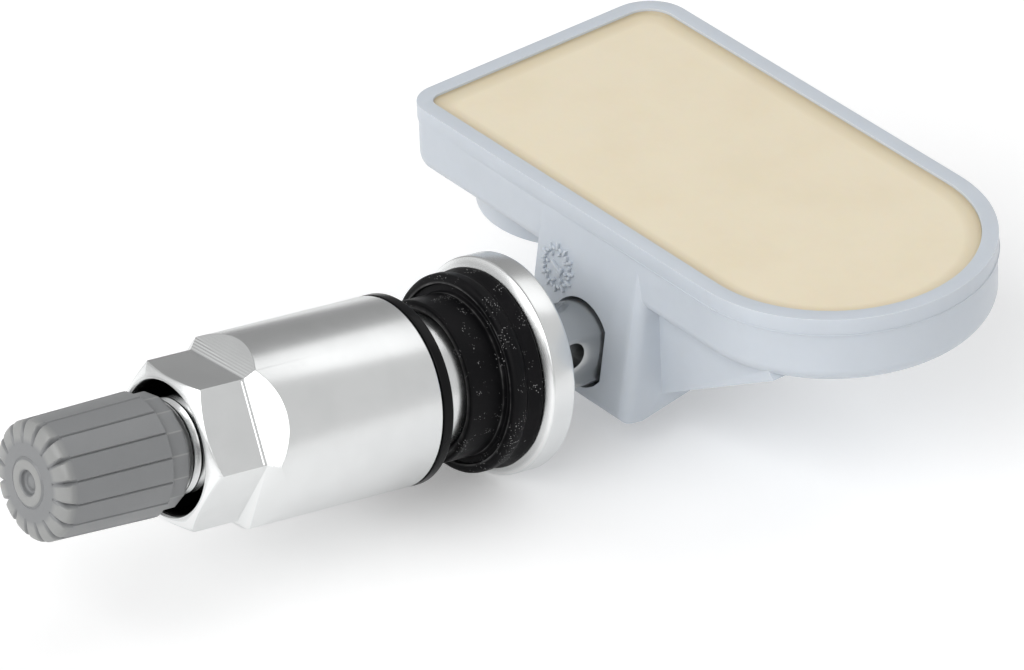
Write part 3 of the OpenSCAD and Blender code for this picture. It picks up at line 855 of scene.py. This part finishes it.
@dataclass
class Housing:
    """The D-shaped tray with its boss, resin filling and mould marks."""

    length: float = 52.2
    width: float = 26.2
    left: float = 24.5
    face_y: float = 15.7
    top_z: float = 11.28
    tilt: float = 9.9
    rim: float = 1.35
    near_corner: float = 2.6
    far_corner: float = 3.7
    pot_down: float = 0.5
    board_down: float = 2.9
    boss_face: float = 16.1
    mark_x: float = -3.6
    mark_z: float = 5.1
    parting_down: float = 1.45

    def placing(self) -> Matrix:
        """Gives the move from the tray's own axes to the frame."""
        shift = Matrix.Translation(Vector((0, self.face_y, self.top_z)) * MM)
        return shift @ Matrix.Rotation(math.radians(self.tilt), 4, "X")

    def plan(self, inset: float, arc: int = 72) -> list[Point]:
        """Gives the D outline drawn inside the tray's edge by inset."""
        end_x = self.length - self.left - self.width / 2
        radius = self.width / 2 - inset
        near = max(self.near_corner - inset, self.near_corner * 0.4)
        far = max(self.far_corner - inset, self.far_corner * 0.4)
        x0 = -self.left + inset
        y0, y1 = inset, self.width - inset
        out: list[Point] = []
        for step in range(arc + 1):
            turn = -math.pi / 2 + math.pi * step / arc
            out.append((end_x + radius * math.cos(turn), self.width / 2 + radius * math.sin(turn)))
        for step in range(9):
            turn = math.pi / 2 + math.pi / 2 * step / 8
            out.append((x0 + far + far * math.cos(turn), y1 - far + far * math.sin(turn)))
        for step in range(9):
            turn = math.pi + math.pi / 2 * step / 8
            out.append((x0 + near + near * math.cos(turn), y0 + near + near * math.sin(turn)))
        return out

    def shell(self, plastic: bpy.types.Material, edges: bpy.types.Material) -> bpy.types.Object:
        """Breaks the edges of the moulded tray; the bevels take a paler, smoother material as a painted highlight."""
        piece = copy_of("sensor_housing", "moulded_housing")
        piece.data.materials.append(plastic)
        piece.data.materials.append(edges)
        # Painted highlight: the bevels take the paler edge material.
        soften(piece, 0.22, angle=34, slot=1)
        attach(piece, "sensor")
        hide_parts("sensor_housing")
        return piece

    def mould_mark(self, plastic: bpy.types.Material) -> bpy.types.Object:
        """Builds the plain ring of ticks and pointer of a mould insert."""
        bm = bmesh.new()
        centre = Vector((self.mark_x, self.boss_face, self.mark_z)) * MM
        upright = Matrix.Translation(centre) @ Matrix.Rotation(math.radians(90), 4, "X")
        bars = [(step * 30.0 + 4.0, 1.78, 0.62, 0.26, 0.0) for step in range(12)]
        bars += [(step * 30.0 + 19.0, 1.62, 0.42, 0.24, 48.0) for step in range(12)]
        bars += [(step * 45.0 - 8.0, 1.16, 0.36, 0.22, -40.0) for step in range(8)]
        bars += [(0.0, 0.0, 1.5, 0.3, -27.0), (-5.0, 0.62, 0.5, 0.26, -90.0), (-50.0, 0.6, 0.5, 0.26, 30.0)]
        for bearing, out, length, width, lean in bars:
            place = Matrix.Rotation(math.radians(bearing), 4, "Z") @ Matrix.Translation((out * MM, 0, 0))
            tilt = Matrix.Rotation(math.radians(lean), 4, "Z")
            size = Matrix.Diagonal((length * MM, width * MM, 0.56 * MM, 1))
            bmesh.ops.create_cube(bm, size=1.0, matrix=upright @ place @ tilt @ size)
        bmesh.ops.bevel(bm, geom=bm.edges[:], offset=0.08 * MM, segments=3, profile=0.5, affect="EDGES", material=-1)
        piece = to_object(bm, "mould_mark")
        piece.data.materials.append(plastic)
        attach(piece, "sensor")
        return piece

    def parting_line(self, plastic: bpy.types.Material) -> bpy.types.Object:
        """Runs the fine raised line where the mould halves met round the tray."""
        bm = bmesh.new()
        section = [(0.1, 0.07), (-0.05, 0.05), (-0.07, 0.0), (-0.05, -0.05), (0.1, -0.07)]
        loops = []
        for inset, rise in section:
            spots = [(x, y, 0.12 * (1 - min(1.0, max(0.0, (x + 4) / 8)))) for x, y in self.plan(inset)]
            loops.append([bm.verts.new((x * MM, (y + math.copysign(sunk, self.width / 2 - y)) * MM,
                                        (rise - self.parting_down) * MM)) for x, y, sunk in spots])
        for outer, inner in zip(loops, loops[1:] + loops[:1]):
            for index in range(len(outer)):
                after = (index + 1) % len(outer)
                bm.faces.new((outer[index], outer[after], inner[after], inner[index]))
        bmesh.ops.transform(bm, matrix=self.placing(), verts=bm.verts[:])
        piece = to_object(bm, "parting_line", 80)
        piece.data.materials.append(plastic)
        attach(piece, "sensor")
        return piece

    def filling(self, resin: bpy.types.Material) -> bpy.types.Object:
        """Pours the resin: a slightly uneven face that climbs a little at the rim, marked for painted shade along its
        edge.
        """
        bm = bmesh.new()
        layer = bm.verts.layers.float.new("painted_rim_shade")
        rings = [(0.03, 0.3), (0.09, 0.2), (0.2, 0.1), (0.42, 0.03), (0.95, 0.0), (1.5, 0.0), (6.0, 0.01)]
        loops = []
        for inset, rise in rings:
            loops.append([bm.verts.new((x * MM, y * MM, (-self.pot_down + rise) * MM))
                          for x, y in self.plan(self.rim + inset)])
        for outer, inner in zip(loops, loops[1:]):
            count = len(outer)
            for index in range(count):
                after = (index + 1) % count
                bm.faces.new((outer[index], outer[after], inner[after], inner[index]))
        bm.faces.new(loops[-1])
        wall = [bm.verts.new((v.co.x, v.co.y, -(self.board_down - 0.03) * MM)) for v in loops[0]]
        count = len(wall)
        for index in range(count):
            after = (index + 1) % count
            bm.faces.new((wall[index], wall[after], loops[0][after], loops[0][index]))
        bm.faces.new(wall)
        # Painted shade: the loops nearest the rim and the resin's wall are marked for the darker edge colour.
        for loop, amount in zip(loops, (1.0, 0.88, 0.65, 0.44, 0.25, 0, 0)):
            for vertex in loop:
                vertex[layer] = amount
        for vertex in wall:
            vertex[layer] = 1.0
        bmesh.ops.transform(bm, matrix=self.placing(), verts=bm.verts[:])
        piece = to_object(bm, "resin_filling", 60)
        piece.data.materials.append(resin)
        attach(piece, "sensor")
        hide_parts("potting")
        return piece


@dataclass
class SealedParts:
    """CAD nodes that keep their own shape and only take a finish."""

    finishes: dict[str, bpy.types.Material]
    nodes: dict[str, str] = field(default_factory=dict)

    def dress(self) -> None:
        """Gives each CAD node the material of its record slot."""
        for entry in frame["record"]["subparts"]:
            node, slot = entry["node"], entry["material_slot"]
            target = frame["nodes"][node]
            target.data.materials.clear()
            target.data.materials.append(self.finishes[slot])
            self.nodes[node] = slot


# Studio


@dataclass
class Studio:
    """Camera, table, lights and white surroundings."""

    camera_at: tuple[float, float, float] = (487.055, -411.423, 315.630)
    camera_turn: tuple[float, float, float] = (63.884, -5.794, 52.0328)
    lens: float = 316.234
    table_up: tuple[float, float, float] = (0.0, -0.13, 1.0)
    table_touch: tuple[float, float, float] = (0.0, 7.6, -8.93)
    table_glow: float = 0.235
    mirror_glow: float = 0.19
    room_left: float = 0.36
    room_right: float = 0.75

    def camera(self) -> None:
        """Places the long-lens camera that the photograph was taken with."""
        data = bpy.data.cameras.new("studio_camera")
        data.sensor_width = 36.0
        data.sensor_fit = "HORIZONTAL"
        data.lens = self.lens
        data.clip_start = 0.01
        data.clip_end = 50.0
        camera = bpy.data.objects.new("studio_camera", data)
        camera.location = Vector(self.camera_at) * MM
        camera.rotation_euler = [math.radians(angle) for angle in self.camera_turn]
        bpy.context.scene.collection.objects.link(camera)
        bpy.context.scene.camera = camera

    def table(self) -> None:
        """Lays the white table under the points that the sensor rests on."""
        up = Vector(self.table_up).normalized()
        turn = up.to_track_quat("Z", "Y").to_matrix().to_4x4()
        bm = bmesh.new()
        bmesh.ops.create_grid(bm, x_segments=1, y_segments=1, size=1.5,
                              matrix=Matrix.Translation(Vector(self.table_touch) * MM) @ turn)
        floor = to_object(bm, "white_table")
        material = bpy.data.materials.new("white_table")
        material.use_nodes = True
        bench = NodeBench(material.node_tree)
        shader = material.node_tree.nodes["Principled BSDF"]
        shader.inputs["Base Color"].default_value = (0.93, 0.93, 0.93, 1)
        shader.inputs["Roughness"].default_value = 0.75
        shader.inputs["Specular IOR Level"].default_value = 0.2
        paths = bench.add("ShaderNodeLightPath")
        glow = bench.add("ShaderNodeEmission", Strength=0.0)
        glow.inputs["Color"].default_value = (1, 1, 1, 1)
        mirror = bench.math("MAXIMUM", paths.outputs["Is Glossy Ray"], paths.outputs["Is Transmission Ray"])
        seen = bench.math("MAXIMUM", bench.math("MULTIPLY", paths.outputs["Is Camera Ray"], self.table_glow),
                          bench.math("MULTIPLY", mirror, self.mirror_glow))
        bench.join(seen, glow.inputs["Strength"])
        both = bench.add("ShaderNodeAddShader")
        bench.join(shader.outputs[0], both.inputs[0])
        bench.join(glow.outputs[0], both.inputs[1])
        bench.join(both.outputs[0], material.node_tree.nodes["Material Output"].inputs["Surface"])
        floor.data.materials.append(material)

    def world(self, level: float = 0.45) -> None:
        """Surrounds the scene with white for the eye and a softer room for the rest.

        Args:
            level: Strength of the room's even light.
        """
        world = bpy.data.worlds.new("white_room")
        bpy.context.scene.world = world
        world.use_nodes = True
        bench = NodeBench(world.node_tree)
        shade = world.node_tree.nodes["Background"]
        paths = bench.add("ShaderNodeLightPath")
        way = bench.add("ShaderNodeTexCoord").outputs["Generated"]
        side = bench.add("ShaderNodeVectorMath", operation="DOT_PRODUCT")
        bench.join(way, side.inputs[0])
        side.inputs[1].default_value = Vector((0.75, 0.55, 0.15)).normalized()
        room = bench.span(side.outputs["Value"], -0.2, 0.95, self.room_left, self.room_right)
        corner = bench.add("ShaderNodeVectorMath", operation="DOT_PRODUCT")
        bench.join(way, corner.inputs[0])
        corner.inputs[1].default_value = Vector((-0.66, -0.58, 0.48)).normalized()
        room = bench.math("ADD", room, bench.span(corner.outputs["Value"], 0.6, 0.95, 0.0, 0.26))
        mirror = bench.math("MAXIMUM", paths.outputs["Is Glossy Ray"], paths.outputs["Is Transmission Ray"])
        shown = bench.math("MULTIPLY", mirror, bench.math("SUBTRACT", room, level))
        white = bench.math("MULTIPLY", paths.outputs["Is Camera Ray"], 1.0 - level)
        strength = bench.math("ADD", bench.math("ADD", shown, white), level)
        shade.inputs["Color"].default_value = (1, 1, 1, 1)
        bench.join(strength, shade.inputs["Strength"])

    def softbox(self, name: str, at: tuple[float, float, float], size: tuple[float, float],
                power: float) -> bpy.types.Object:
        """Hangs a rectangular soft light that faces the sensor and returns it."""
        data = bpy.data.lights.new(name, "AREA")
        data.shape = "RECTANGLE"
        data.size, data.size_y = size
        data.energy = power
        lamp = bpy.data.objects.new(name, data)
        lamp.location = at
        lamp.rotation_euler = (Vector((0, 0.01, 0)) - Vector(at)).to_track_quat("-Z", "Y").to_euler()
        bpy.context.scene.collection.objects.link(lamp)
        return lamp

    def lights(self) -> None:
        """Places the soft lights round the table."""
        self.softbox("front_light", (0.12, -0.85, 0.52), (1.3, 0.8), 7.8)
        self.softbox("top_light", (-0.05, 0.55, 0.83), (0.65, 0.42), 0.75)
        self.softbox("top_fill", (-0.05, 0.55, 0.83), (0.8, 0.5), 1.6).visible_glossy = False
        self.softbox("side_light", (0.85, 0.3, 0.45), (0.6, 0.5), 0.7).visible_glossy = False


FINISHES: dict[str, object] = {
    # The cap's paler second colour is its painted highlight.
    "cap_plastic": PlasticFinish("cap_plastic", (0.225, 0.23, 0.235), 0.34, (0.44, 0.44, 0.42), 0.14, 11000.0),
    "soft_rubber": RubberFinish("soft_rubber"),
    "satin_aluminium": MetalFinish("satin_aluminium", (0.76, 0.77, 0.77), 0.27, Machining.MILLED),
    "black_plastic": PlasticFinish("black_plastic", (0.006, 0.006, 0.0066), 0.24, None, 0.03, gloss=0.1),
    "seal_rubber": RubberFinish("seal_rubber"),
    "core_brass": MetalFinish("core_brass", (0.78, 0.58, 0.28), 0.3),
    "white_plastic": PlasticFinish("white_plastic", (0.8, 0.8, 0.78), 0.4, None),
    "spring_steel": MetalFinish("spring_steel", (0.6, 0.6, 0.6), 0.3, Machining.PLAIN),
    "housing_plastic": PlasticFinish("housing_plastic", (0.60, 0.645, 0.70), 0.34, None, 0.09, 7000.0, 0.03, 0.08),
    # housing_edge: its paler colour is a painted highlight on the tray's bevelled edges.
    "housing_edge": PlasticFinish("housing_edge", (0.84, 0.865, 0.9), 0.2, None, 0.05, 7000.0, 0.02, 0.08),
    "potting_resin": ResinFinish("potting_resin"),
    "board_laminate": PlasticFinish("board_laminate", (0.02, 0.14, 0.06), 0.35, None),
    "cell_steel": MetalFinish("cell_steel", (0.66, 0.66, 0.66), 0.25, Machining.PLAIN),
    "tab_nickel": MetalFinish("tab_nickel", (0.68, 0.67, 0.63), 0.28, Machining.PLAIN),
    "ferrite": PlasticFinish("ferrite", (0.03, 0.03, 0.03), 0.5, None, 0.3),
    "coil_copper": MetalFinish("coil_copper", (0.78, 0.36, 0.18), 0.3, Machining.PLAIN),
    "chip_plastic": PlasticFinish("chip_plastic", (0.02, 0.02, 0.02), 0.5, None, 0.2),
    "capacitor_body": PlasticFinish("capacitor_body", (0.45, 0.33, 0.2), 0.45, None),
    "screw_steel": MetalFinish("screw_steel", (0.6, 0.6, 0.6), 0.28, Machining.PLAIN),
}


def main() -> None:
    """Builds the studio, the finishes and every piece in order."""
    logging.basicConfig(level=logging.INFO, format="%(message)s")
    bpy.context.scene.view_settings.view_transform = "Standard"
    studio = Studio()
    studio.camera()
    studio.world()
    studio.table()
    studio.lights()
    log.info("studio ready")
    effects = Effects()
    made = {slot: finish.make(effects) for slot, finish in FINISHES.items()}
    SealedParts(made).dress()
    valve, seal, nut, cap, housing = Valve(), Seal(), Nut(), Cap(), Housing()
    for piece in (valve.stem(made["satin_aluminium"]), seal.build(made["seal_rubber"]),
                  nut.nut(made["satin_aluminium"]), nut.washer(made["black_plastic"]),
                  cap.build(made["cap_plastic"]), housing.shell(made["housing_plastic"], made["housing_edge"]),
                  housing.mould_mark(made["housing_plastic"]), housing.parting_line(made["housing_plastic"]),
                  housing.filling(made["potting_resin"])):
        log.info("%s: %d faces", piece.name, len(piece.data.polygons))


if __name__ == "__main__":
    main()
